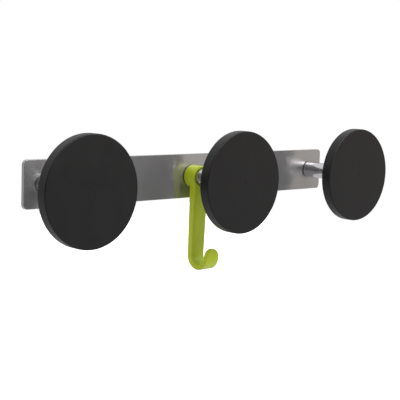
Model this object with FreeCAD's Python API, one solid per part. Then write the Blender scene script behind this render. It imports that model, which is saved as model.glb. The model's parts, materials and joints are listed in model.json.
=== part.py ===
import FreeCAD, Part
import math
import os

# A wall coat rail: a flat steel bar that carries three pegs, and a plastic hook
# that swings round the foot of the middle peg.
#
# Millimetres. The origin is the centre of the bar's back face, which lies on the
# wall. +X runs along the bar, +Z is up and -Y points out of the wall. Distances
# named "out" are measured from the wall plane, so a point that is 10 out has y = -10.

# ---- Driving dimensions ----

# The bar
rail_length = 457.0
rail_height = 50.0
rail_thickness = 4.0
rail_corner_radius = 5.0
rail_edge_radius = 0.4

# The pegs
peg_names = ["left", "middle", "right"]
peg_pitch = 205.0
peg_reach = 81.5
post_diameter = 19.5
head_diameter = 112.0
head_thickness = 12.0

# The hook, with its depths measured outwards from the bar's front face
hook_width = 19.6
hook_drop = 104.8
hook_depth = 39.6
collar_diameter = 25.4
collar_clearance = 0.35
collar_front = 17.5
collar_floor_thickness = 2.2
collar_floor_play = 0.1
strip_back = 8.0
strip_bend_front = 15.0
strip_neck_drop = 16.0
tip_thickness = 5.0
hook_edge_radius = 1.1

# ---- Details ----

# Wall screw holes, for countersunk screws of 5 mm
wall_screw_spacing = peg_pitch
wall_hole_radius = 2.75
wall_hole_mouth_radius = 5.2

# M6 screws, with 90 degree countersunk heads behind and button heads in front
screw_radius = 3.0
screw_length = 16.0
middle_rear_screw_length = 20.0
tapped_radius = 3.05
clearance_radius = 3.3
rear_tapped_depth = 13.0
front_tapped_depth = 15.0
drill_tip_angle = 118.0
countersunk_head_radius = 6.0
countersunk_head_rim = 0.3
countersunk_head_inset = 0.2
button_head_radius = 5.25
button_head_height = 3.3
button_head_top_radius = 2.6
hex_key_across_flats = 4.0
hex_key_depth = 1.8

# Nylon washer at the foot of each post
base_washer_radius = 9.4
base_washer_thickness = 1.0

# Nylon washer between the bar and the hook
slip_washer_radius = 12.0
slip_washer_hole_radius = 6.6
slip_washer_thickness = 0.8

# Steel bush under the middle post, on which the hook turns. It is a little longer than
# the slip washer and the floor of the hook's collar together, so the post clamps the
# bush and not the hook.
bush_radius = 6.5
bush_length = slip_washer_thickness + collar_floor_thickness + 2 * collar_floor_play
bush_running_clearance = 0.08

# Large steel washer under each button head
head_washer_radius = 9.0
head_washer_hole_radius = 3.2
head_washer_thickness = 1.6

post_chamfer = 0.3

# The head is a moulded cap, closed behind by a snap-in back plate
cap_wall = 2.5
cap_front_edge_radius = 1.3
cap_back_edge_radius = 0.8
gate_mark_radius = 2.2
gate_mark_depth = 0.25
rib_ring_inner_radius = 12.0
rib_ring_outer_radius = 14.0
rib_ring_gap = 0.1
rib_count = 8
rib_thickness = 2.0
rib_gap = 1.0
snap_groove_start = 1.1
snap_groove_width = 1.2
snap_groove_depth = 0.5
snap_bead_clearance = 0.12
plate_inset = 0.3
plate_thickness = 3.5
plate_edge_gap = 0.2
plate_seat_depth = 1.5
plate_seat_gap = 0.15

# ---- Places worked out from the dimensions ----

post_radius = post_diameter / 2
head_radius = head_diameter / 2
post_back = rail_thickness + base_washer_thickness
head_front = rail_thickness + peg_reach
head_back = head_front - head_thickness
cap_floor = head_front - cap_wall
cap_inner_radius = head_radius - cap_wall
plate_back = head_back + plate_inset
plate_front = plate_back + plate_thickness
post_front = plate_back + plate_seat_depth
washer_front = plate_front + head_washer_thickness
groove_back = head_back + snap_groove_start
groove_front = groove_back + snap_groove_width

tip_back = hook_depth - tip_thickness
bend_outer_radius = (hook_depth - strip_back) / 2
bend_inner_radius = (tip_back - strip_bend_front) / 2
bend_height = bend_outer_radius - hook_drop
tip_height = bend_height + hook_width / 2


# ---- Helpers ----

def turned(profile):
    """Solid of revolution about the peg axis, from a closed outline of (radius, out) points."""
    points = [FreeCAD.Vector(radius, -out, 0) for radius, out in profile]
    outline = Part.makePolygon(points + points[:1])
    axis = FreeCAD.Vector(0, 1, 0)
    return Part.Face(outline).revolve(FreeCAD.Vector(0, 0, 0), axis, 360)


def rod(radius, start, end):
    """Plain cylinder on the peg axis between two distances out."""
    return turned([(0, start), (radius, start), (radius, end), (0, end)])


def rims(shape, radius, out):
    """The circular edges of a turned shape that have this radius and lie this far out."""
    found = []
    for edge in shape.Edges:
        if not isinstance(edge.Curve, Part.Circle):
            continue
        right_size = abs(edge.Curve.Radius - radius) < 0.01
        right_place = abs(edge.Curve.Center.y + out) < 0.01
        if right_size and right_place:
            found.append(edge)
    return found


def drilled_hole(radius, mouth, depth, direction):
    """Blind hole on the peg axis with a conical bottom; direction +1 drills outwards."""
    bottom = mouth + direction * depth
    tip = bottom + direction * radius / math.tan(math.radians(drill_tip_angle / 2))
    return turned([(0, mouth), (radius, mouth), (radius, bottom), (0, tip)])


def hex_socket(mouth, direction):
    """Hexagonal key recess on the peg axis."""
    corner_radius = hex_key_across_flats / math.sqrt(3)
    corners = []
    for step in range(6):
        angle = math.radians(60 * step)
        x = corner_radius * math.cos(angle)
        z = corner_radius * math.sin(angle)
        corners.append(FreeCAD.Vector(x, -mouth, z))
    outline = Part.makePolygon(corners + corners[:1])
    return Part.Face(outline).extrude(FreeCAD.Vector(0, -direction * hex_key_depth, 0))


def at_peg(shape, index, lift=0.0):
    """Copy of a shape drawn on the peg axis, moved to one of the pegs and lifted off the bar."""
    copy = shape.copy()
    copy.translate(FreeCAD.Vector((index - 1) * peg_pitch, -lift, 0))
    return copy


def save(name, shape):
    if not shape.isValid() or shape.Volume <= 0:
        raise ValueError(name + " is not a sound solid")
    shape.exportStep("parts/" + name + ".step")
    print(name, len(shape.Solids), round(shape.Volume, 1))


# ---- The bar ----

def rail():
    corner = FreeCAD.Vector(-rail_length / 2, -rail_thickness, -rail_height / 2)
    bar = Part.makeBox(rail_length, rail_thickness, rail_height, corner)
    upright = [edge for edge in bar.Edges if abs(edge.tangentAt(0).y) > 0.99]
    bar = bar.makeFillet(rail_corner_radius, upright)
    front_outline = []
    for edge in bar.Edges:
        if abs(edge.CenterOfMass.y + rail_thickness) < 0.01:
            front_outline.append(edge)
    bar = bar.makeFillet(rail_edge_radius, front_outline)
    for index in range(len(peg_names)):
        bar = bar.cut(at_peg(peg_screw_hole(), index))
    for side in (-1, 1):
        hole = wall_screw_hole()
        hole.translate(FreeCAD.Vector(side * wall_screw_spacing / 2, 0, 0))
        bar = bar.cut(hole)
    return bar


def peg_screw_hole():
    """Countersunk from behind. Its cone is the one that the screw's head rests on."""
    mouth_radius = countersunk_head_radius + countersunk_head_rim + countersunk_head_inset
    cone_depth = mouth_radius - clearance_radius
    return turned([
        (0, 0),
        (mouth_radius, 0),
        (clearance_radius, cone_depth),
        (clearance_radius, rail_thickness),
        (0, rail_thickness),
    ])


def wall_screw_hole():
    """Countersunk from the front, for a screw that goes into the wall."""
    cone_depth = wall_hole_mouth_radius - wall_hole_radius
    return turned([
        (0, 0),
        (wall_hole_radius, 0),
        (wall_hole_radius, rail_thickness - cone_depth),
        (wall_hole_mouth_radius, rail_thickness),
        (0, rail_thickness),
    ])


# ---- The pieces of a peg, each drawn on the peg axis as it stands on the bar ----

def rear_screw(length):
    """Countersunk screw that passes through the bar and the nylon washer into the post."""
    head_start = countersunk_head_inset
    cone_start = head_start + countersunk_head_rim
    cone_end = cone_start + countersunk_head_radius - screw_radius
    screw = turned([
        (0, head_start),
        (countersunk_head_radius, head_start),
        (countersunk_head_radius, cone_start),
        (screw_radius, cone_end),
        (screw_radius, head_start + length),
        (0, head_start + length),
    ])
    return screw.cut(hex_socket(head_start, 1))


def base_washer():
    return turned([
        (clearance_radius, rail_thickness),
        (base_washer_radius, rail_thickness),
        (base_washer_radius, post_back),
        (clearance_radius, post_back),
    ])


def post():
    bar = rod(post_radius, post_back, post_front)
    ends = rims(bar, post_radius, post_back) + rims(bar, post_radius, post_front)
    bar = bar.makeChamfer(post_chamfer, ends)
    bar = bar.cut(drilled_hole(tapped_radius, post_back, rear_tapped_depth, 1))
    return bar.cut(drilled_hole(tapped_radius, post_front, front_tapped_depth, -1))


def back_plate():
    """Closes the cap. The post stands in its shallow seat, and its bead snaps into the cap."""
    edge_radius = cap_inner_radius - plate_edge_gap
    bead_radius = cap_inner_radius + snap_groove_depth - snap_bead_clearance
    seat_radius = post_radius + plate_seat_gap
    return turned([
        (clearance_radius, post_front),
        (seat_radius, post_front),
        (seat_radius, plate_back),
        (edge_radius, plate_back),
        (edge_radius, groove_back + snap_bead_clearance),
        (bead_radius, groove_back + snap_bead_clearance),
        (bead_radius, groove_front - snap_bead_clearance),
        (edge_radius, groove_front - snap_bead_clearance),
        (edge_radius, plate_front),
        (clearance_radius, plate_front),
    ])


def head_washer():
    return turned([
        (head_washer_hole_radius, plate_front),
        (head_washer_radius, plate_front),
        (head_washer_radius, washer_front),
        (head_washer_hole_radius, washer_front),
    ])


def head_screw():
    """Button head screw that clamps the back plate to the post's front end."""
    head_top = washer_front + button_head_height
    screw = turned([
        (0, washer_front - screw_length),
        (screw_radius, washer_front - screw_length),
        (screw_radius, washer_front),
        (button_head_radius, washer_front),
        (button_head_top_radius, head_top),
        (0, head_top),
    ])
    return screw.cut(hex_socket(head_top, -1))


def head_cap():
    """Moulded cap with the front face, the rim, a ring and ribs inside, and a snap groove."""
    groove_radius = cap_inner_radius + snap_groove_depth
    ring_end = plate_front + rib_ring_gap
    shell = turned([
        (0, head_front),
        (head_radius, head_front),
        (head_radius, head_back),
        (cap_inner_radius, head_back),
        (cap_inner_radius, groove_back),
        (groove_radius, groove_back),
        (groove_radius, groove_front),
        (cap_inner_radius, groove_front),
        (cap_inner_radius, cap_floor),
        (rib_ring_outer_radius, cap_floor),
        (rib_ring_outer_radius, ring_end),
        (rib_ring_inner_radius, ring_end),
        (rib_ring_inner_radius, cap_floor),
        (0, cap_floor),
    ])
    shell = shell.makeFillet(cap_front_edge_radius, rims(shell, head_radius, head_front))
    shell = shell.makeFillet(cap_back_edge_radius, rims(shell, head_radius, head_back))
    shell = shell.cut(rod(gate_mark_radius, head_front - gate_mark_depth, head_front))
    return shell.fuse(cap_ribs()).removeSplitter()


def cap_ribs():
    """Radial ribs under the front face, from the inner ring to the rim."""
    start = (rib_ring_inner_radius + rib_ring_outer_radius) / 2
    end = cap_inner_radius + cap_wall / 2
    rib_back = plate_front + rib_gap
    rib_front = cap_floor + cap_wall / 2
    ribs = []
    for step in range(rib_count):
        corner = FreeCAD.Vector(start, -rib_front, -rib_thickness / 2)
        rib = Part.makeBox(end - start, rib_front - rib_back, rib_thickness, corner)
        turn = 360 * step / rib_count
        rib.rotate(FreeCAD.Vector(0, 0, 0), FreeCAD.Vector(0, 1, 0), turn)
        ribs.append(rib)
    return Part.makeCompound(ribs)


# ---- The hook ----

def side_point(out, height):
    """Point of the hook's side outline, with out measured from the bar's front face."""
    return FreeCAD.Vector(0, -rail_thickness - out, height)


def strip_and_bend():
    """Strip, bend and tip seen from the side. The bend thins from the strip to the tip."""
    outer_middle = strip_back + bend_outer_radius
    inner_middle = strip_bend_front + bend_inner_radius

    strip_back_top = side_point(strip_back, 0)
    strip_back_foot = side_point(strip_back, bend_height)
    outer_low = side_point(outer_middle, -hook_drop)
    tip_front_foot = side_point(hook_depth, bend_height)
    tip_front_top = side_point(hook_depth, tip_height)
    tip_back_top = side_point(tip_back, tip_height)
    tip_back_foot = side_point(tip_back, bend_height)
    inner_low = side_point(inner_middle, bend_height - bend_inner_radius)
    strip_front_foot = side_point(strip_bend_front, bend_height)
    strip_front_neck = side_point(collar_front, -strip_neck_drop)
    strip_front_top = side_point(collar_front, 0)

    outline = Part.Wire([
        Part.makeLine(strip_back_top, strip_back_foot),
        Part.Arc(strip_back_foot, outer_low, tip_front_foot).toShape(),
        Part.makeLine(tip_front_foot, tip_front_top),
        Part.makeLine(tip_front_top, tip_back_top),
        Part.makeLine(tip_back_top, tip_back_foot),
        Part.Arc(tip_back_foot, inner_low, strip_front_foot).toShape(),
        Part.makeLine(strip_front_foot, strip_front_neck),
        Part.makeLine(strip_front_neck, strip_front_top),
        Part.makeLine(strip_front_top, strip_back_top),
    ])
    strip = Part.Face(outline).extrude(FreeCAD.Vector(hook_width, 0, 0))
    strip.translate(FreeCAD.Vector(-hook_width / 2, 0, 0))
    strip = strip.cut(tip_corners())
    return strip.makeFillet(hook_edge_radius, strip_side_edges(strip))


def tip_corners():
    """What is cut from the tip's square end to leave it round."""
    gap_middle = (strip_bend_front + tip_back) / 2
    start = rail_thickness + gap_middle
    length = hook_depth - gap_middle + 1
    block_corner = FreeCAD.Vector(-hook_width, -start - length, bend_height)
    block = Part.makeBox(2 * hook_width, length, hook_width, block_corner)
    centre = FreeCAD.Vector(0, -start, bend_height)
    outwards = FreeCAD.Vector(0, -1, 0)
    return block.cut(Part.makeCylinder(hook_width / 2, length, centre, outwards))


def strip_side_edges(strip):
    """The edges along both sides of the strip and round its tip, which are all rounded."""
    found = []
    for edge in strip.Edges:
        start = edge.Vertexes[0].Point
        end = edge.Vertexes[-1].Point
        crosses_strip = abs(start.x + end.x) < 0.01 and abs(start.x - end.x) > 1
        through_tip = abs(start.y - end.y) > 1 and abs(start.z - end.z) < 0.01
        round_bend = isinstance(edge.Curve, Part.Circle)
        if round_bend or not (crosses_strip or through_tip):
            found.append(edge)
    return found


def hook_bush():
    return turned([
        (clearance_radius, rail_thickness),
        (bush_radius, rail_thickness),
        (bush_radius, rail_thickness + bush_length),
        (clearance_radius, rail_thickness + bush_length),
    ])


def hook_slip_washer():
    return turned([
        (slip_washer_hole_radius, rail_thickness),
        (slip_washer_radius, rail_thickness),
        (slip_washer_radius, rail_thickness + slip_washer_thickness),
        (slip_washer_hole_radius, rail_thickness + slip_washer_thickness),
    ])


def hook():
    """Collar round the foot of the middle post, a hanging strip and a round-tipped bend.

    The collar's floor lies between the slip washer and the post, and turns on the bush.
    """
    collar_radius = collar_diameter / 2
    bore_radius = post_radius + collar_clearance
    floor_hole_radius = bush_radius + bush_running_clearance
    collar_start = rail_thickness + slip_washer_thickness + collar_floor_play
    floor_end = collar_start + collar_floor_thickness
    collar_end = rail_thickness + collar_front
    collar = rod(collar_radius, collar_start, collar_end)
    collar_rims = rims(collar, collar_radius, collar_start)
    collar_rims += rims(collar, collar_radius, collar_end)
    collar = collar.makeFillet(hook_edge_radius, collar_rims)
    body = collar.fuse(strip_and_bend()).removeSplitter()
    body = body.cut(rod(bore_radius, floor_end, collar_end))
    body = body.cut(rod(floor_hole_radius, collar_start, floor_end))
    return body.makeChamfer(post_chamfer, rims(body, bore_radius, collar_end))


# ---- Build ----

peg_pieces = {
    "base_washer": base_washer(),
    "post": post(),
    "head_back_plate": back_plate(),
    "head_washer": head_washer(),
    "head_screw": head_screw(),
    "head_cap": head_cap(),
}
peg_lifts = [0.0, bush_length, 0.0]
rear_screw_lengths = [screw_length, middle_rear_screw_length, screw_length]

save("wall_rail", rail())
save("hook_bush", hook_bush())
save("hook_slip_washer", hook_slip_washer())
save("accessory_hook", hook())
for index, peg_name in enumerate(peg_names):
    save(peg_name + "_rear_screw", at_peg(rear_screw(rear_screw_lengths[index]), index))
    for piece_name, piece in peg_pieces.items():
        save(peg_name + "_" + piece_name, at_peg(piece, index, peg_lifts[index]))
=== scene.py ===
import bpy
import json
import math
import numpy as np
from mathutils import Matrix, Vector


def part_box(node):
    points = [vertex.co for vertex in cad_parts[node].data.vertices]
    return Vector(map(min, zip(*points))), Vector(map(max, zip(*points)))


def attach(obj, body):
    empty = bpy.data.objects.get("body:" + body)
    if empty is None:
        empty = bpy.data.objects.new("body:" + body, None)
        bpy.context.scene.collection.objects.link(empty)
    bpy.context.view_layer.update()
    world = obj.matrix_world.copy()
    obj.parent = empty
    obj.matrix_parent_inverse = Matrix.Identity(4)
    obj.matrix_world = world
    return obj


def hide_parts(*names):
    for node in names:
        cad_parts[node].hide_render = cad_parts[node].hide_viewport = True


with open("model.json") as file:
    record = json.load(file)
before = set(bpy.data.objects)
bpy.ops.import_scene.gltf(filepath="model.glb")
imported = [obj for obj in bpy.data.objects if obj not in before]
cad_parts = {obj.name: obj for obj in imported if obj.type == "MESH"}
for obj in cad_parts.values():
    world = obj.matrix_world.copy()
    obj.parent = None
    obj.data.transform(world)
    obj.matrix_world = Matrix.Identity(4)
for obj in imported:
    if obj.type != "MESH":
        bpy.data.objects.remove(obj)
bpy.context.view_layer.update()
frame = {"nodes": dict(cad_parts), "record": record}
nodes = frame["nodes"]

# A wall coat rail: a brushed steel bar with three pegs and a lime-green hook.
# Metres, in the frame of the CAD model: +X along the bar, +Z up, -Y out of the wall.
# "Out" is the distance from the wall plane, so a point that is 0.01 out has y = -0.01.

MM = 0.001
PEGS = ("left", "middle", "right")

# ---- Camera: the photograph's viewing angle ----

CAMERA_PLACE = (-0.8118, -0.8586, 0.1121)
CAMERA_YAW = 44.06
CAMERA_PITCH = 6.76
CAMERA_ROLL = 1.99
CAMERA_LENS = 93.14
SENSOR_WIDTH = 36.0
CAMERA_NEAR = 0.01
CAMERA_FAR = 100.0


def make_camera():
    data = bpy.data.cameras.new("photo_camera")
    data.lens = CAMERA_LENS
    data.sensor_width = SENSOR_WIDTH
    data.clip_start = CAMERA_NEAR
    data.clip_end = CAMERA_FAR
    camera = bpy.data.objects.new("photo_camera", data)
    bpy.context.scene.collection.objects.link(camera)
    turn = Matrix.Rotation(math.radians(-CAMERA_YAW), 4, "Z")
    tilt = Matrix.Rotation(math.radians(90 - CAMERA_PITCH), 4, "X")
    roll = Matrix.Rotation(math.radians(CAMERA_ROLL), 4, "Z")
    camera.matrix_world = Matrix.Translation(CAMERA_PLACE) @ turn @ tilt @ roll
    bpy.context.scene.camera = camera


# ---- Shader helpers ----

# Noise values lie mostly in this range, and colours change over the middle part of it.
NOISE_RANGE = (0.3, 0.7)
COLOUR_RANGE = (0.35, 0.65)


def add(tree, kind, **settings):
    node = tree.nodes.new(kind)
    for key, value in settings.items():
        setattr(node, key, value)
    return node


def feed(tree, socket, value):
    """Links a socket to another one, or sets it to a number."""
    if isinstance(value, bpy.types.NodeSocket):
        tree.links.new(value, socket)
    else:
        socket.default_value = value


def maths(tree, operation, first, second):
    node = add(tree, "ShaderNodeMath", operation=operation)
    feed(tree, node.inputs[0], first)
    feed(tree, node.inputs[1], second)
    return node.outputs[0]


def map_range(tree, value, from_low, from_high, to_low, to_high, smooth=False):
    node = add(tree, "ShaderNodeMapRange")
    node.interpolation_type = "SMOOTHSTEP" if smooth else "LINEAR"
    feed(tree, node.inputs["Value"], value)
    node.inputs["From Min"].default_value = from_low
    node.inputs["From Max"].default_value = from_high
    node.inputs["To Min"].default_value = to_low
    node.inputs["To Max"].default_value = to_high
    return node.outputs["Result"]


def spread(tree, value, low, high):
    """Stretches a noise value over the range from low to high."""
    return map_range(tree, value, *NOISE_RANGE, low, high)


def noise(tree, scale, detail=2.0, roughness=0.5):
    """Noise in the object's own metres, with grains about 1 / scale long on each axis."""
    coords = add(tree, "ShaderNodeTexCoord")
    mapping = add(tree, "ShaderNodeMapping")
    tree.links.new(coords.outputs["Object"], mapping.inputs["Vector"])
    mapping.inputs["Scale"].default_value = scale
    node = add(tree, "ShaderNodeTexNoise")
    tree.links.new(mapping.outputs["Vector"], node.inputs["Vector"])
    node.inputs["Scale"].default_value = 1.0
    node.inputs["Detail"].default_value = detail
    node.inputs["Roughness"].default_value = roughness
    return node.outputs["Fac"]


def blend_colours(tree, amount, low, high):
    ramp = add(tree, "ShaderNodeValToRGB")
    for element, position, colour in zip(ramp.color_ramp.elements, COLOUR_RANGE, (low, high)):
        element.position = position
        element.color = colour + (1,)
    tree.links.new(amount, ramp.inputs["Fac"])
    return ramp.outputs["Color"]


def bump(tree, height, depth, strength, below=None):
    """Normal roughened by the height, on top of the bump below when there is one."""
    node = add(tree, "ShaderNodeBump")
    node.inputs["Distance"].default_value = depth
    node.inputs["Strength"].default_value = strength
    tree.links.new(height, node.inputs["Height"])
    if below is not None:
        tree.links.new(below, node.inputs["Normal"])
    return node.outputs["Normal"]


def material(name):
    made = bpy.data.materials.new(name)
    made.use_nodes = True
    return made, made.node_tree, made.node_tree.nodes["Principled BSDF"]


# ---- Materials ----

def brushed_rail():
    """Bar stock brushed along its length. Reflections are sharp along X and blurred up and
    down, and the part that isn't metallic is the soft haze of the brushing."""
    made, tree, shader = material("brushed_rail")
    fine = noise(tree, (18, 9000, 9000), 3.0, 0.6)
    broad = noise(tree, (7, 2500, 2500))
    smudge = noise(tree, (24, 24, 40))
    colour = blend_colours(tree, broad, (0.392, 0.380, 0.374), (0.410, 0.398, 0.392))
    rough = spread(tree, fine, 0.12, 0.26)
    rough = maths(tree, "ADD", rough, spread(tree, smudge, -0.015, 0.02))
    tree.links.new(colour, shader.inputs["Base Color"])
    tree.links.new(rough, shader.inputs["Roughness"])
    shader.inputs["Metallic"].default_value = 0.7
    shader.inputs["Anisotropic"].default_value = 0.95
    tangent = add(tree, "ShaderNodeTangent", direction_type="RADIAL", axis="X")
    tree.links.new(tangent.outputs[0], shader.inputs["Tangent"])
    normal = bump(tree, fine, depth=0.000003, strength=0.4)
    normal = bump(tree, broad, depth=0.000006, strength=0.3, below=normal)
    tree.links.new(normal, shader.inputs["Normal"])
    return made


def satin_steel():
    """Turned and polished posts, with fine rings round the axis."""
    made, tree, shader = material("satin_steel")
    rings = noise(tree, (30, 5200, 30), 3.0, 0.6)
    cloud = noise(tree, (160, 160, 160))
    colour = blend_colours(tree, cloud, (0.496, 0.484, 0.504), (0.544, 0.532, 0.548))
    rough = map_range(tree, rings, 0.45, 0.6, 0.06, 0.16)
    rough = maths(tree, "ADD", rough, spread(tree, cloud, -0.02, 0.02))
    tree.links.new(colour, shader.inputs["Base Color"])
    tree.links.new(rough, shader.inputs["Roughness"])
    shader.inputs["Metallic"].default_value = 1.0
    shader.inputs["Anisotropic"].default_value = 0.95
    shader.inputs["Anisotropic Rotation"].default_value = 0.25
    tangent = add(tree, "ShaderNodeTangent", direction_type="RADIAL", axis="Y")
    tree.links.new(tangent.outputs[0], shader.inputs["Tangent"])
    tree.links.new(bump(tree, rings, depth=0.000006, strength=0.3), shader.inputs["Normal"])
    return made


def black_plastic(name, low, high):
    """Matte black moulding with a fine eroded grain, coloured between low and high."""
    made, tree, shader = material(name)
    grain = noise(tree, (2600, 2600, 2600), 2.0, 0.6)
    pits = noise(tree, (900, 900, 900), 1.0)
    cloud = noise(tree, (45, 45, 45), 3.0)
    colour = blend_colours(tree, cloud, low, high)
    rough = spread(tree, cloud, 0.36, 0.44)
    rough = maths(tree, "ADD", rough, spread(tree, grain, -0.04, 0.04))
    tree.links.new(colour, shader.inputs["Base Color"])
    tree.links.new(rough, shader.inputs["Roughness"])
    shader.inputs["Specular IOR Level"].default_value = 0.293
    normal = bump(tree, grain, depth=0.00003, strength=0.35)
    normal = bump(tree, pits, depth=0.00004, strength=0.2, below=normal)
    tree.links.new(normal, shader.inputs["Normal"])
    return made


def green_plastic():
    """Lime-green satin moulding."""
    made, tree, shader = material("green_plastic")
    peel = noise(tree, (420, 420, 420))
    grain = noise(tree, (2400, 2400, 2400))
    flow = noise(tree, (60, 60, 22))
    colour = blend_colours(tree, flow, (0.443, 0.536, 0.0086), (0.471, 0.564, 0.013))
    tree.links.new(colour, shader.inputs["Base Color"])
    tree.links.new(spread(tree, peel, 0.33, 0.42), shader.inputs["Roughness"])
    shader.inputs["Specular IOR Level"].default_value = 0.42
    normal = bump(tree, grain, depth=0.000015, strength=0.25)
    normal = bump(tree, peel, depth=0.00004, strength=0.2, below=normal)
    tree.links.new(normal, shader.inputs["Normal"])
    return made


def black_nylon():
    """Plain moulded washers."""
    made, tree, shader = material("black_nylon")
    grain = noise(tree, (1800, 1800, 1800))
    colour = blend_colours(tree, grain, (0.008, 0.008, 0.008), (0.014, 0.014, 0.014))
    tree.links.new(colour, shader.inputs["Base Color"])
    tree.links.new(spread(tree, grain, 0.4, 0.55), shader.inputs["Roughness"])
    tree.links.new(bump(tree, grain, depth=0.00002, strength=0.3), shader.inputs["Normal"])
    return made


def zinc_steel():
    """Bright zinc plate with its faint blue and yellow bloom."""
    made, tree, shader = material("zinc_steel")
    bloom = noise(tree, (380, 380, 380))
    grain = noise(tree, (3000, 3000, 3000))
    colour = blend_colours(tree, bloom, (0.60, 0.62, 0.66), (0.68, 0.66, 0.58))
    tree.links.new(colour, shader.inputs["Base Color"])
    tree.links.new(spread(tree, grain, 0.22, 0.36), shader.inputs["Roughness"])
    shader.inputs["Metallic"].default_value = 1.0
    tree.links.new(bump(tree, grain, depth=0.00001, strength=0.25), shader.inputs["Normal"])
    return made


def pale_floor():
    """Pale and matte, and white where the camera sees it, without lighting the object."""
    made, tree, shader = material("pale_floor")
    mottle = noise(tree, (3, 3, 3))
    colour = blend_colours(tree, mottle, (0.70, 0.70, 0.70), (0.74, 0.74, 0.74))
    tree.links.new(colour, shader.inputs["Base Color"])
    tree.links.new(spread(tree, mottle, 0.8, 0.9), shader.inputs["Roughness"])
    shader.inputs["Emission Color"].default_value = WHITE
    path = add(tree, "ShaderNodeLightPath")
    glow = maths(tree, "MULTIPLY", path.outputs["Is Camera Ray"], FLOOR_GLOW)
    tree.links.new(glow, shader.inputs["Emission Strength"])
    return made


# ---- Light ----

# The room round the object: its strength at the walls and up at the ceiling, and the upward
# share of a ray's direction from which on it sees the ceiling alone.
ROOM_COLOUR = (0.97, 0.98, 1.0)
WALL_STRENGTH = 0.588
CEILING_STRENGTH = 1.11
CEILING_HEIGHT = 0.9
# Dimmer parts of the room: direction, cosine of the angle from it at the part's edge and where
# the part is full, and the share of the light that is left there. The first is the front left
# side, where the camera stands, and the second the right side.
DIM_PARTS = (
    ((-0.78, -0.62, 0.0), 0.5, 0.95, 0.25),
    ((0.93, -0.10, 0.36), 0.8, 0.97, 0.75),
)
# Brighter parts: direction, the same two cosines, strength added and colour. The first is a warm
# glow low on the front right, which the bar mirrors, and the second a pale one high on the left.
BRIGHT_PARTS = (
    ((0.72, -0.69, -0.10), 0.75, 0.95, 0.119, (1.0, 0.50, 0.10)),
    ((-0.85, -0.05, 0.52), 0.8, 0.97, 0.35, (1.0, 1.0, 0.95)),
)
# The key light is a round softbox above the front, a little to the right.
KEY_DIRECTION = (0.30, -0.71, 0.63)
KEY_DISTANCE = 1.8
KEY_SIZE = 1.3
KEY_POWER = 23.1
# The floor's glow is seen by the camera only.
FLOOR_HEIGHT = -1.2
FLOOR_SIZE = 14.0
FLOOR_GLOW = 1.0
WHITE = (1, 1, 1, 1)


def towards(tree, coords, direction):
    """Cosine of the angle between a ray's direction and the given one."""
    node = add(tree, "ShaderNodeVectorMath", operation="DOT_PRODUCT")
    tree.links.new(coords, node.inputs[0])
    node.inputs[1].default_value = Vector(direction).normalized()
    return node.outputs["Value"]


def make_world():
    """White to the camera. For light and reflections, a room with a pale ceiling."""
    world = bpy.data.worlds.new("studio")
    bpy.context.scene.world = world
    world.use_nodes = True
    tree = world.node_tree
    tree.nodes.clear()
    out = add(tree, "ShaderNodeOutputWorld")
    seen = add(tree, "ShaderNodeBackground")
    seen.inputs["Color"].default_value = WHITE
    seen.inputs["Strength"].default_value = 1.0
    room = add(tree, "ShaderNodeBackground")
    room.inputs["Color"].default_value = ROOM_COLOUR + (1,)
    coords = add(tree, "ShaderNodeTexCoord").outputs["Generated"]
    split = add(tree, "ShaderNodeSeparateXYZ")
    tree.links.new(coords, split.inputs[0])
    up = split.outputs["Z"]
    strength = map_range(tree, up, 0.0, CEILING_HEIGHT, WALL_STRENGTH, CEILING_STRENGTH, True)
    for direction, edge, full, share in DIM_PARTS:
        cosine = towards(tree, coords, direction)
        shade = map_range(tree, cosine, edge, full, 1.0, share, True)
        strength = maths(tree, "MULTIPLY", strength, shade)
    feed(tree, room.inputs["Strength"], strength)
    light = room.outputs[0]
    for direction, edge, full, added, colour in BRIGHT_PARTS:
        patch = add(tree, "ShaderNodeBackground")
        patch.inputs["Color"].default_value = colour + (1,)
        cosine = towards(tree, coords, direction)
        feed(tree, patch.inputs["Strength"], map_range(tree, cosine, edge, full, 0.0, added, True))
        both = add(tree, "ShaderNodeAddShader")
        tree.links.new(light, both.inputs[0])
        tree.links.new(patch.outputs[0], both.inputs[1])
        light = both.outputs[0]
    path = add(tree, "ShaderNodeLightPath")
    mix = add(tree, "ShaderNodeMixShader")
    tree.links.new(path.outputs["Is Camera Ray"], mix.inputs["Fac"])
    tree.links.new(light, mix.inputs[1])
    tree.links.new(seen.outputs[0], mix.inputs[2])
    tree.links.new(mix.outputs[0], out.inputs["Surface"])


def make_softbox(name, direction, distance, size, power):
    """Round light that looks at the origin from the given direction."""
    data = bpy.data.lights.new(name, "AREA")
    data.shape = "DISK"
    data.size = size
    data.energy = power
    lamp = bpy.data.objects.new(name, data)
    bpy.context.scene.collection.objects.link(lamp)
    away = Vector(direction).normalized()
    lamp.location = away * distance
    lamp.rotation_euler = away.to_track_quat("Z", "Y").to_euler()


def make_floor():
    half = FLOOR_SIZE / 2
    corners = [(-half, -half), (half, -half), (half, half), (-half, half)]
    mesh = bpy.data.meshes.new("floor")
    mesh.from_pydata([(x, y, FLOOR_HEIGHT) for x, y in corners], [], [(0, 1, 2, 3)])
    floor = bpy.data.objects.new("floor", mesh)
    bpy.context.scene.collection.objects.link(floor)
    floor.data.materials.append(pale_floor())


# ---- Making pieces ----

def mesh_piece(name, verts, faces):
    mesh = bpy.data.meshes.new(name)
    mesh.from_pydata(verts, [], faces)
    piece = bpy.data.objects.new(name, mesh)
    bpy.context.scene.collection.objects.link(piece)
    for polygon in mesh.polygons:
        polygon.use_smooth = True
    if enclosed_volume(mesh) < 0:
        mesh.flip_normals()
    return piece


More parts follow.
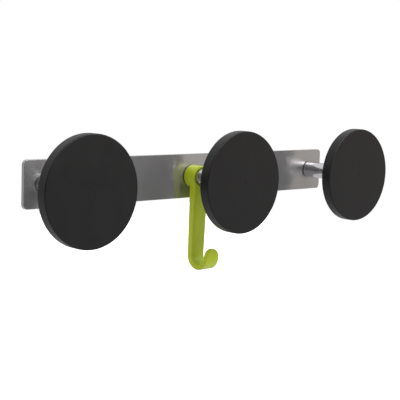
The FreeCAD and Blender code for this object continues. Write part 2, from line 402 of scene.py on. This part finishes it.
def enclosed_volume(mesh):
    """Volume inside a closed mesh, below zero when its faces look inwards."""
    volume = 0.0
    for polygon in mesh.polygons:
        corners = [mesh.vertices[index].co for index in polygon.vertices]
        for second, third in zip(corners[1:], corners[2:]):
            volume += corners[0].dot(second.cross(third)) / 6
    return volume


def finish_piece(piece, slot, body, replaced, look=None):
    """Gives a piece its slot's material, or another look, and its places in the frame."""
    piece.data.materials.append(MATERIALS[look or slot])
    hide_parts(replaced)
    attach(piece, body)


# ---- Turned pieces ----

def rounded(corners, steps=6):
    """Outline through (radius, out, edge radius) corners, with an arc at each rounded corner.
    A corner whose edge radius is 0 stays sharp."""
    points = []
    for index, (radius, out, edge) in enumerate(corners):
        here = Vector((radius, out))
        if edge == 0:
            points.append(here)
            continue
        before = (Vector(corners[index - 1][:2]) - here).normalized()
        after = (Vector(corners[(index + 1) % len(corners)][:2]) - here).normalized()
        half_angle = before.angle(after) / 2
        centre = here + (before + after).normalized() * edge / math.sin(half_angle)
        start = here + before * edge / math.tan(half_angle) - centre
        end = here + after * edge / math.tan(half_angle) - centre
        sweep = start.angle_signed(end)
        for step in range(steps + 1):
            turn = Matrix.Rotation(-sweep * step / steps, 2)
            points.append(centre + turn @ start)
    return points


def lathe(name, outline, centre, segments):
    """Turns a closed (radius, out) outline about the axis through centre that points out of
    the wall. The outline starts and ends on the axis, or closes on itself as a ring."""
    verts = []
    rows = []
    for point in outline:
        row = []
        for step in range(segments if point.x > 0 else 1):
            angle = 2 * math.pi * step / segments
            row.append(len(verts))
            x = centre.x + point.x * math.cos(angle)
            z = centre.z + point.x * math.sin(angle)
            verts.append((x, -point.y, z))
        rows.append(row)
    pairs = list(zip(rows, rows[1:]))
    if outline[0].x > 0:
        pairs.append((rows[-1], rows[0]))
    faces = []
    for first, second in pairs:
        for step in range(segments):
            after = (step + 1) % segments
            if len(first) == 1:
                faces.append((first[0], second[after], second[step]))
            elif len(second) == 1:
                faces.append((first[step], first[after], second[0]))
            else:
                faces.append((first[step], first[after], second[after], second[step]))
    piece = mesh_piece(name, verts, faces)
    piece.data.set_sharp_from_angle(angle=math.radians(SHARP_ANGLE))
    weighted = piece.modifiers.new("even_shading", "WEIGHTED_NORMAL")
    weighted.keep_sharp = True
    return piece


def axis_of(low, high):
    """Point where the axis of a peg's piece meets the wall plane, from the piece's box."""
    return Vector(((low[0] + high[0]) / 2, 0, (low[2] + high[2]) / 2))


# Details of the pegs that their boxes don't give, and how finely they are turned
HEAD_FRONT_EDGE = 1.3 * MM
HEAD_BACK_EDGE = 0.8 * MM
HEAD_WALL = 2.5 * MM
HEAD_LIP_EDGE = 0.4 * MM
HEAD_RECESS = 3.9 * MM
GATE_RADIUS = 2.2 * MM
GATE_DEPTH = 0.25 * MM
GATE_EDGE = 0.08 * MM
PLATE_GAP = 0.2 * MM
PLATE_INSET = 0.3 * MM
PLATE_THICKNESS = 3.5 * MM
PLATE_EDGE = 0.4 * MM
PLATE_GROOVES = ((17.0 * MM, 19.0 * MM), (46.0 * MM, 48.0 * MM))
PLATE_GROOVE_DEPTH = 0.6 * MM
PLATE_GROOVE_EDGE = 0.15 * MM
PLATE_SEAT_GAP = 0.15 * MM
POST_CHAMFER = 0.3 * MM
POST_EDGE = 0.1 * MM
HEAD_SEGMENTS = 224
PLATE_SEGMENTS = 192
POST_SEGMENTS = 144
SMALL_EDGE_STEPS = 3
SHARP_ANGLE = 38


def make_head(peg):
    """Front cap: flat face with a faint gate mark, soft edges, and a lip round the back plate."""
    low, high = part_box(peg + "_head_cap")
    centre = axis_of(low, high)
    radius = (high[0] - low[0]) / 2
    front = -low[1]
    back = -high[1]
    inner = radius - HEAD_WALL
    outline = rounded([
        (0, front - GATE_DEPTH, 0),
        (GATE_RADIUS, front - GATE_DEPTH, GATE_EDGE),
        (GATE_RADIUS, front, GATE_EDGE),
        (radius, front, HEAD_FRONT_EDGE),
        (radius, back, HEAD_BACK_EDGE),
        (inner, back, HEAD_LIP_EDGE),
        (inner, back + HEAD_RECESS, 0),
        (0, back + HEAD_RECESS, 0),
    ])
    cap = lathe(peg + "_cap", outline, centre, HEAD_SEGMENTS)
    finish_piece(cap, "black_head", "rack", peg + "_head_cap")
    return centre, back, inner


def make_back_plate(peg, centre, head_back, inner, post_radius):
    """Back plate, sunk a little into the cap, with two moulded rings."""
    back = head_back + PLATE_INSET
    front = back + PLATE_THICKNESS
    hole = post_radius + PLATE_SEAT_GAP
    rim = inner - PLATE_GAP
    corners = [(hole, front, 0), (hole, back, PLATE_GROOVE_EDGE)]
    for near, far in PLATE_GROOVES:
        bottom = back + PLATE_GROOVE_DEPTH
        corners += [(near, back, PLATE_GROOVE_EDGE), (near, bottom, PLATE_GROOVE_EDGE)]
        corners += [(far, bottom, PLATE_GROOVE_EDGE), (far, back, PLATE_GROOVE_EDGE)]
    corners += [(rim, back, PLATE_EDGE), (rim, front, 0)]
    outline = rounded(corners, SMALL_EDGE_STEPS)
    plate = lathe(peg + "_back_plate", outline, centre, PLATE_SEGMENTS)
    finish_piece(plate, "black_head", "rack", peg + "_head_back_plate", look="back_plate")


def make_post(peg):
    """Plain round post with a small chamfer at both ends."""
    low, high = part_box(peg + "_post")
    centre = axis_of(low, high)
    radius = (high[0] - low[0]) / 2
    foot = -high[1]
    top = -low[1]
    outline = rounded([
        (0, foot, 0),
        (radius - POST_CHAMFER, foot, POST_EDGE),
        (radius, foot + POST_CHAMFER, POST_EDGE),
        (radius, top - POST_CHAMFER, POST_EDGE),
        (radius - POST_CHAMFER, top, POST_EDGE),
        (0, top, 0),
    ], SMALL_EDGE_STEPS)
    post = lathe(peg + "_peg_post", outline, centre, POST_SEGMENTS)
    finish_piece(post, "satin_steel", "rack", peg + "_post")
    return radius


# ---- The hook ----

# Its sizes, in millimetres. Distances out are measured from the bar's front face here. The
# soft fill under the collar, the neck, stops a little short of where the strip gets thinner.
BAR = 4.0
HOOK_WIDTH = 19.6
STRIP_BACK = 8.0
STRIP_NECK_FRONT = 17.5
STRIP_NECK_DROP = 16.0
STRIP_BEND_FRONT = 15.0
TIP_THICKNESS = 5.0
HOOK_EDGE = 1.1
BORE_CLEARANCE = 0.35
COLLAR_FLOOR = 2.2
FLOOR_HOLE_RADIUS = 6.58
NECK_BLEND = 2.0
NECK_SHORT = 1.0
BORE_EDGE = 0.4
# How finely its outline and its mesh are made, and how often the vertices are pulled onto it
OUTER_BEND_STEPS = 40
INNER_BEND_STEPS = 32
HOOK_CELL = 0.5
PULLS = 4


def length_of(*parts):
    """Length of a vector, from its parts."""
    return np.sqrt(sum(part * part for part in parts))


def rounded_and(first, second, edge):
    """Distance to what two shapes share, with the edge where they meet rounded."""
    a = first + edge
    b = second + edge
    outside = length_of(np.maximum(a, 0), np.maximum(b, 0))
    return outside + np.minimum(np.maximum(a, b), 0) - edge


def smooth_or(first, second, size):
    """Distance to either of two shapes, with the inner corner between them filled softly."""
    share = np.clip(0.5 + 0.5 * (second - first) / size, 0, 1)
    return second + (first - second) * share - size * share * (1 - share)


def outline_distance(points, u, v):
    """Signed distance from the points (u, v) to a closed outline, negative inside it."""
    nearest = np.full(u.shape, np.inf)
    inside = np.zeros(u.shape, dtype=bool)
    for (u0, v0), (u1, v1) in zip(points, points[1:] + points[:1]):
        du = u1 - u0
        dv = v1 - v0
        along = np.clip(((u - u0) * du + (v - v0) * dv) / (du * du + dv * dv), 0, 1)
        nearest = np.minimum(nearest, length_of(u - u0 - along * du, v - v0 - along * dv))
        if dv != 0:
            inside ^= ((v0 > v) != (v1 > v)) & (u < u0 + (v - v0) * du / dv)
    return np.where(inside, -nearest, nearest)


def arc(centre_u, centre_v, radius, start, end, steps):
    """Points along an arc between two angles in degrees."""
    points = []
    for step in range(steps + 1):
        angle = math.radians(start + (end - start) * step / steps)
        points.append((centre_u + radius * math.cos(angle), centre_v + radius * math.sin(angle)))
    return points


class HookShape:
    """The hook as a signed distance, in millimetres, at points (x, out, z)."""

    def __init__(self, low, high, post_radius):
        self.bore_radius = post_radius / MM + BORE_CLEARANCE
        self.collar_back = -high[1] / MM
        self.collar_radius = high[2] / MM
        self.collar_front = BAR + STRIP_NECK_FRONT
        self.depth = -low[1] / MM
        self.strip_back = BAR + STRIP_BACK
        self.bend_radius = (self.depth - self.strip_back) / 2
        self.bend_height = low[2] / MM + self.bend_radius
        self.throat = (BAR + STRIP_BEND_FRONT + self.depth - TIP_THICKNESS) / 2
        self.side = self.side_outline()

    def side_outline(self):
        """Strip, bend and tip from the side. The tip runs on past its end, which is cut round."""
        tip_back = self.depth - TIP_THICKNESS
        inner_radius = (tip_back - BAR - STRIP_BEND_FRONT) / 2
        past_tip = self.bend_height + HOOK_WIDTH
        bend_middle = self.strip_back + self.bend_radius
        outer = arc(bend_middle, self.bend_height, self.bend_radius, 180, 360, OUTER_BEND_STEPS)
        inner = arc(self.throat, self.bend_height, inner_radius, 0, -180, INNER_BEND_STEPS)
        tip = [(self.depth, past_tip), (tip_back, past_tip)]
        neck = [(self.collar_front, -STRIP_NECK_DROP), (self.collar_front, 0)]
        return outer + tip + inner + neck + [(self.strip_back, 0)]

    def side_distance(self, out, z):
        """Distance to the side outline. On a grid of points it is worked out for one x only."""
        if out.ndim == 3:
            return outline_distance(self.side, out[:1], z[:1])
        return outline_distance(self.side, out, z)

    def distance(self, x, out, z):
        from_axis = length_of(x, z)
        across = np.abs(x) - HOOK_WIDTH / 2
        round_end = length_of(x, z - self.bend_height) - HOOK_WIDTH / 2
        in_tip = (out > self.throat) & (z > self.bend_height)
        breadth = np.where(in_tip, round_end, across)
        strip = rounded_and(self.side_distance(out, z), breadth, HOOK_EDGE)

        half = (self.collar_front - self.collar_back) / 2
        collar_depth = np.abs(out - self.collar_back - half) - half
        disc = from_axis - self.collar_radius
        collar = rounded_and(disc, collar_depth, HOOK_EDGE)

        below_axis = np.maximum(across, z)
        neck_bottom = NECK_SHORT - STRIP_NECK_DROP
        neck_front = np.maximum(smooth_or(disc, below_axis, NECK_BLEND), neck_bottom - z)
        neck_depth = np.maximum(collar_depth, self.strip_back - out)
        neck = rounded_and(neck_front, neck_depth, HOOK_EDGE)

        body = np.minimum(np.minimum(strip, collar), neck)
        bore = np.maximum(from_axis - self.bore_radius, self.collar_back + COLLAR_FLOOR - out)
        body = rounded_and(body, -bore, BORE_EDGE)
        return np.maximum(body, FLOOR_HOLE_RADIUS - from_axis)


def distance_mesh(shape, low, high, cell):
    """Even quad mesh on a signed distance's zero surface, with every vertex pulled onto it."""
    axes = [np.arange(a - 2 * cell, b + 2.5 * cell, cell) for a, b in zip(low, high)]
    field = shape.distance(*np.meshgrid(*axes, indexing="ij"))
    inside = field < 0
    total = np.zeros(field.shape + (3,))
    count = np.zeros(field.shape)
    crossings = []
    for axis in range(3):
        near = [slice(None)] * 3
        far = [slice(None)] * 3
        near[axis] = slice(None, -1)
        far[axis] = slice(1, None)
        starts = np.argwhere(inside[tuple(near)] != inside[tuple(far)])
        ends = starts + np.eye(3, dtype=int)[axis]
        first = field[tuple(starts.T)]
        second = field[tuple(ends.T)]
        places = starts.astype(float)
        places[:, axis] += first / (first - second)
        rings = []
        for i, j in ((0, 0), (1, 0), (1, 1), (0, 1)):
            cells = starts.copy()
            cells[:, (axis + 1) % 3] -= i
            cells[:, (axis + 2) % 3] -= j
            np.add.at(total, tuple(cells.T), places)
            np.add.at(count, tuple(cells.T), 1)
            rings.append(cells)
        crossings.append((rings, first < 0))
    used = np.argwhere(count > 0)
    number = np.full(count.shape, -1)
    number[tuple(used.T)] = np.arange(len(used))
    corner = np.array([axis[0] for axis in axes])
    verts = corner + cell * total[tuple(used.T)] / count[tuple(used.T)][:, None]
    faces = []
    for rings, starts_inside in crossings:
        quads = np.stack([number[tuple(cells.T)] for cells in rings], axis=1)
        quads[~starts_inside] = quads[~starts_inside][:, ::-1]
        faces.append(quads)
    for _ in range(PULLS):
        gap = np.clip(shape.distance(*verts.T), -cell, cell)
        verts = verts - slope_of(shape, verts) * gap[:, None]
    return verts, np.concatenate(faces), slope_of(shape, verts)


def slope_of(shape, verts, reach=0.02):
    """Direction in which the distance grows fastest: the surface's normal."""
    slope = np.zeros(verts.shape)
    for axis in range(3):
        shift = reach * np.eye(3)[axis]
        slope[:, axis] = shape.distance(*(verts + shift).T) - shape.distance(*(verts - shift).T)
    return slope / np.maximum(np.linalg.norm(slope, axis=1), 1e-9)[:, None]


def make_hook(post_radius):
    low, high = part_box("accessory_hook")
    shape = HookShape(low, high, post_radius)
    box_low = (low[0] / MM, -high[1] / MM, low[2] / MM)
    box_high = (high[0] / MM, -low[1] / MM, high[2] / MM)
    verts, faces, slopes = distance_mesh(shape, box_low, box_high, HOOK_CELL)
    out_is_minus_y = np.array([1, -1, 1])
    piece = mesh_piece("green_hook", (verts * out_is_minus_y * MM).tolist(), faces.tolist())
    piece.data.normals_split_custom_set_from_vertices((slopes * out_is_minus_y).tolist())
    finish_piece(piece, "green_plastic", "hook", "accessory_hook")


# ---- Build ----

MATERIALS = {
    "brushed_rail": brushed_rail(),
    "satin_steel": satin_steel(),
    "black_head": black_plastic("black_head", (0.0032, 0.0029, 0.0029), (0.0043, 0.0039, 0.0039)),
    "back_plate": black_plastic("back_plate", (0.045, 0.05, 0.058), (0.055, 0.06, 0.068)),
    "green_plastic": green_plastic(),
    "black_nylon": black_nylon(),
    "zinc_steel": zinc_steel(),
}

slots = {part["node"]: part["material_slot"] for part in frame["record"]["subparts"]}
for name, node in nodes.items():
    node.data.materials.clear()
    node.data.materials.append(MATERIALS[slots[name]])

for peg in PEGS:
    post_radius = make_post(peg)
    centre, head_back, inner = make_head(peg)
    make_back_plate(peg, centre, head_back, inner, post_radius)
make_hook(post_radius)

make_camera()
make_world()
make_softbox("key_softbox", KEY_DIRECTION, KEY_DISTANCE, KEY_SIZE, KEY_POWER)
make_floor()
bpy.context.scene.view_settings.view_transform = "Standard"
